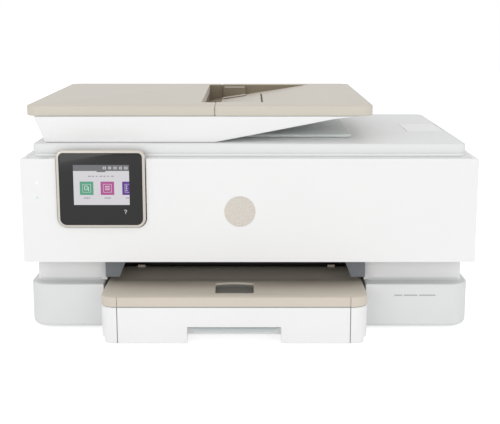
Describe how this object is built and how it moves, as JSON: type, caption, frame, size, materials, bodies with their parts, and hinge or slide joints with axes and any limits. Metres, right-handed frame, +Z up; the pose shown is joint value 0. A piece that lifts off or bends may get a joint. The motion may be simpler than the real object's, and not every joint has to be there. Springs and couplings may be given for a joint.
{
  "type": "inkjet printer",
  "caption": "White and beige home inkjet printer with flatbed scanner, document feeder, tilting touch panel and a pull-out paper tray.",
  "frame": {"origin": "on the desk, under the middle of the bounding box", "axes": "+X to the right as seen from the front, +Y from the front to the back, +Z up"},
  "size_m": [0.46, 0.383, 0.233],
  "materials": {
    "white": "satin",
    "cool_white": "fine texture",
    "beige": "satin",
    "bezel": "metallic silver-beige paint",
    "tray_beige": "fine texture",
    "grey": "satin",
    "slate": "satin",
    "pale_grey": "satin",
    "black": "matt",
    "gloss_black": "glossy",
    "rubber": "matt",
    "steel": "satin",
    "glass": "clear",
    "board": "solder mask",
    "ink_blue": "satin",
    "foam": "soft white foam"
  },
  "bodies": {
    "case": {"bottom_case": "cool_white", "waist_frame": "cool_white", "left_side_housing": "white", "right_side_housing": "white", "rear_cover": "white", "scanner_bed": "white", "flatbed_glass": "glass", "scan_rail": "steel", "carriage_frame": "steel", "guide_rod": "steel", "drive_belt": "rubber", "carriage_motor": "steel", "platen": "black", "service_station": "grey", "output_tray": "tray_beige", "left_exit_guide": "slate", "right_exit_guide": "slate", "main_board": "board", "power_supply": "black", "power_inlet": "black", "front_left_foot": "rubber", "front_right_foot": "rubber", "rear_left_foot": "rubber", "rear_right_foot": "rubber", "left_lid_hinge": "grey", "right_lid_hinge": "grey"},
    "lid": {"scanner_lid": "white", "lid_pad": "foam", "adf_body": "white", "adf_input_tray": "beige", "adf_output_plate": "grey"},
    "adf_cover": {"adf_cover": "beige"},
    "adf_front_guide": {"adf_front_guide": "tray_beige"},
    "adf_rear_guide": {"adf_rear_guide": "tray_beige"},
    "adf_pick_roller": {"adf_pick_roller": "rubber"},
    "document_stop": {"document_stop": "white"},
    "front_door": {"front_door": "white", "badge": "bezel"},
    "touch_panel": {"panel_housing": "bezel", "panel_glass": "gloss_black"},
    "power_button": {"power_button": "pale_grey"},
    "input_tray": {"input_tray": "white", "tray_handle": "pale_grey"},
    "left_paper_guide": {"left_paper_guide": "grey"},
    "right_paper_guide": {"right_paper_guide": "grey"},
    "length_guide": {"length_guide": "grey"},
    "tray_extender": {"tray_extender": "tray_beige"},
    "paper_stop": {"paper_stop": "grey"},
    "carriage": {"carriage": "black", "black_cartridge": "black", "color_cartridge": "ink_blue"},
    "motor_pulley": {"motor_pulley": "pale_grey"},
    "idler_pulley": {"idler_pulley": "pale_grey"},
    "scan_bar": {"scan_bar": "black"},
    "feed_roller": {"feed_roller": "rubber"},
    "idler_gear": {"idler_gear": "pale_grey"},
    "exit_roller": {"exit_roller": "rubber"},
    "pickup_arm": {"pickup_arm": "grey"},
    "pickup_roller": {"pickup_roller": "rubber"},
    "rear_door": {"rear_door": "cool_white"}
  },
  "joints": [
    {"name": "lid_hinge", "type": "hinge", "parent": "case", "child": "lid", "pos_m": [0, 0.1505, 0.1885], "axis": [-1, 0, 0], "range_deg": [0, 75]},
    {"name": "adf_cover_hinge", "type": "hinge", "parent": "lid", "child": "adf_cover", "pos_m": [-0.2235, 0.007, 0.2255], "axis": [0, -1, 0], "range_deg": [0, 75]},
    {"name": "adf_front_guide_slide", "type": "slide", "parent": "lid", "child": "adf_front_guide", "axis": [0, 1, 0], "range_m": [0, 0.055]},
    {"name": "adf_rear_guide_slide", "type": "slide", "parent": "lid", "child": "adf_rear_guide", "axis": [0, 1, 0], "range_m": [-0.055, 0]},
    {"name": "adf_pick_roller_spin", "type": "hinge", "parent": "lid", "child": "adf_pick_roller", "pos_m": [-0.075, 0.0085, 0.213], "axis": [0, 1, 0], "continuous": true},
    {"name": "document_stop_hinge", "type": "hinge", "parent": "lid", "child": "document_stop", "pos_m": [0.214, -0.0065, 0.1945], "axis": [0, 1, 0], "range_deg": [0, 100]},
    {"name": "front_door_hinge", "type": "hinge", "parent": "case", "child": "front_door", "pos_m": [0, -0.1475, 0.08], "axis": [1, 0, 0], "range_deg": [0, 85]},
    {"name": "touch_panel_tilt", "type": "hinge", "parent": "front_door", "child": "touch_panel", "pos_m": [-0.1489, -0.151, 0.179], "axis": [1, 0, 0], "range_deg": [-30, 0]},
    {"name": "power_button_press", "type": "slide", "parent": "front_door", "child": "power_button", "axis": [0, 0, -1], "range_m": [0, 0.001], "stiffness_N_per_m": 150, "springref_m": -0.0005},
    {"name": "input_tray_slide", "type": "slide", "parent": "case", "child": "input_tray", "axis": [0, -1, 0], "range_m": [0, 0.2]},
    {"name": "left_paper_guide_slide", "type": "slide", "parent": "input_tray", "child": "left_paper_guide", "axis": [1, 0, 0], "range_m": [0, 0.055]},
    {"name": "right_paper_guide_slide", "type": "slide", "parent": "input_tray", "child": "right_paper_guide", "axis": [1, 0, 0], "range_m": [-0.055, 0]},
    {"name": "length_guide_slide", "type": "slide", "parent": "input_tray", "child": "length_guide", "axis": [0, 1, 0], "range_m": [0, 0.1]},
    {"name": "tray_extender_slide", "type": "slide", "parent": "case", "child": "tray_extender", "axis": [0, -1, 0], "range_m": [0, 0.11]},
    {"name": "paper_stop_hinge", "type": "hinge", "parent": "tray_extender", "child": "paper_stop", "pos_m": [-0.01515, -0.1731, 0.0458], "axis": [1, 0, 0], "range_deg": [0, 95]},
    {"name": "carriage_slide", "type": "slide", "parent": "case", "child": "carriage", "axis": [-1, 0, 0], "range_m": [0, 0.285]},
    {"name": "motor_pulley_spin", "type": "hinge", "parent": "case", "child": "motor_pulley", "pos_m": [0.199, -0.0395, 0.132], "axis": [0, 1, 0], "continuous": true},
    {"name": "idler_pulley_spin", "type": "hinge", "parent": "case", "child": "idler_pulley", "pos_m": [-0.199, -0.0395, 0.132], "axis": [0, 1, 0], "continuous": true},
    {"name": "scan_bar_slide", "type": "slide", "parent": "case", "child": "scan_bar", "axis": [1, 0, 0], "range_m": [0, 0.32]},
    {"name": "feed_roller_spin", "type": "hinge", "parent": "case", "child": "feed_roller", "pos_m": [-0.1651, -0.0335, 0.077], "axis": [1, 0, 0], "continuous": true},
    {"name": "idler_gear_spin", "type": "hinge", "parent": "case", "child": "idler_gear", "pos_m": [-0.1641, -0.0685, 0.0775], "axis": [1, 0, 0], "continuous": true},
    {"name": "exit_roller_spin", "type": "hinge", "parent": "case", "child": "exit_roller", "pos_m": [-0.1651, -0.1035, 0.078], "axis": [1, 0, 0], "continuous": true},
    {"name": "pickup_arm_swing", "type": "hinge", "parent": "case", "child": "pickup_arm", "pos_m": [-0.04915, 0.0965, 0.058], "axis": [1, 0, 0], "range_deg": [0, 30]},
    {"name": "pickup_roller_spin", "type": "hinge", "parent": "pickup_arm", "child": "pickup_roller", "pos_m": [-0.04415, 0.0615, 0.05], "axis": [1, 0, 0], "continuous": true},
    {"name": "rear_door_hinge", "type": "hinge", "parent": "case", "child": "rear_door", "pos_m": [-0.01515, 0.19, 0.0882], "axis": [-1, 0, 0], "range_deg": [0, 70]}
  ],
  "couplings": [
    {"joint": "adf_rear_guide_slide", "follows": "adf_front_guide_slide", "ratio": -1},
    {"joint": "right_paper_guide_slide", "follows": "left_paper_guide_slide", "ratio": -1},
    {"joint": "motor_pulley_spin", "follows": "carriage_slide", "rad_per_m": 125},
    {"joint": "idler_pulley_spin", "follows": "carriage_slide", "rad_per_m": 125},
    {"joint": "idler_gear_spin", "follows": "feed_roller_spin", "ratio": -0.75},
    {"joint": "exit_roller_spin", "follows": "feed_roller_spin", "ratio": 1}
  ]
}
